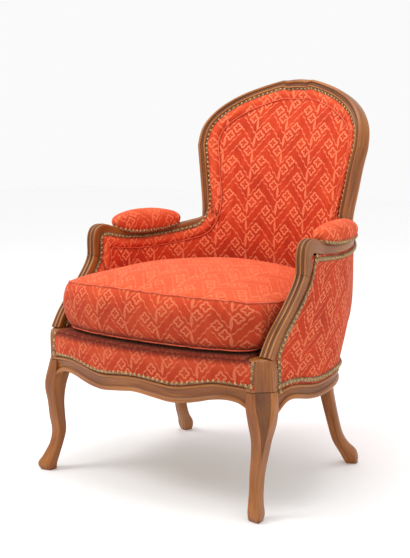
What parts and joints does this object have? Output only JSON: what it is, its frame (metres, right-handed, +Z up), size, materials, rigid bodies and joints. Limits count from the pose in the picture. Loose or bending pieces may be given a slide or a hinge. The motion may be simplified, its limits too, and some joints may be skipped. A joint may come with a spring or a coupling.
{
  "type": "upholstered armchair",
  "caption": "Low armchair with a moulded wooden frame, closed upholstered sides, hollow rounded back, padded arms, cabriole front legs and a loose seat cushion.",
  "frame": {"origin": "on the floor, at the middle of the chair's plan", "axes": "+Z up, the tallest way; the front faces -Y; +X to the right of someone who looks at the front"},
  "size_m": [0.6794, 0.7082, 0.9505],
  "materials": {
    "show_wood": "satin, waxed",
    "frame_wood": "matt, unfinished",
    "velvet": "cut velvet",
    "canvas": "plain weave",
    "webbing": "woven jute",
    "filling": "loose fibre",
    "steel": "plain"
  },
  "bodies": {
    "chair": {"arm_pad_cover_left": "velvet", "arm_pad_cover_right": "velvet", "arm_pad_stuffing_left": "filling", "arm_pad_stuffing_right": "filling", "arm_rail_left": "show_wood", "arm_rail_right": "show_wood", "arm_support_left": "show_wood", "arm_support_right": "show_wood", "back_hessian": "canvas", "back_lower_rail": "frame_wood", "back_rail": "frame_wood", "back_stile_left": "show_wood", "back_stile_right": "show_wood", "back_webbing": "webbing", "corner_block_screws": "steel", "corner_blocks": "frame_wood", "crest_rail": "show_wood", "front_leg_left": "show_wood", "front_leg_right": "show_wood", "front_rail": "show_wood", "inside_arm_cover_left": "velvet", "inside_arm_cover_right": "velvet", "inside_arm_stuffing_left": "filling", "inside_arm_stuffing_right": "filling", "inside_back_cover": "velvet", "inside_back_stuffing": "filling", "joint_pegs": "frame_wood", "outside_arm_cover_left": "velvet", "outside_arm_cover_right": "velvet", "outside_back_cover": "velvet", "seat_front_band": "velvet", "seat_hessian": "canvas", "seat_platform_cover": "canvas", "seat_springs": "steel", "seat_stuffing": "filling", "seat_webbing_crosswise": "webbing", "seat_webbing_lengthwise": "webbing", "side_rail_left": "show_wood", "side_rail_right": "show_wood"},
    "cushion": {"cushion_cover": "velvet", "cushion_filling": "filling"}
  },
  "joints": [
    {"name": "cushion_pull", "type": "slide", "parent": "chair", "child": "cushion", "axis": [0, -1, 0], "range_m": [0, 0.62]}
  ]
}
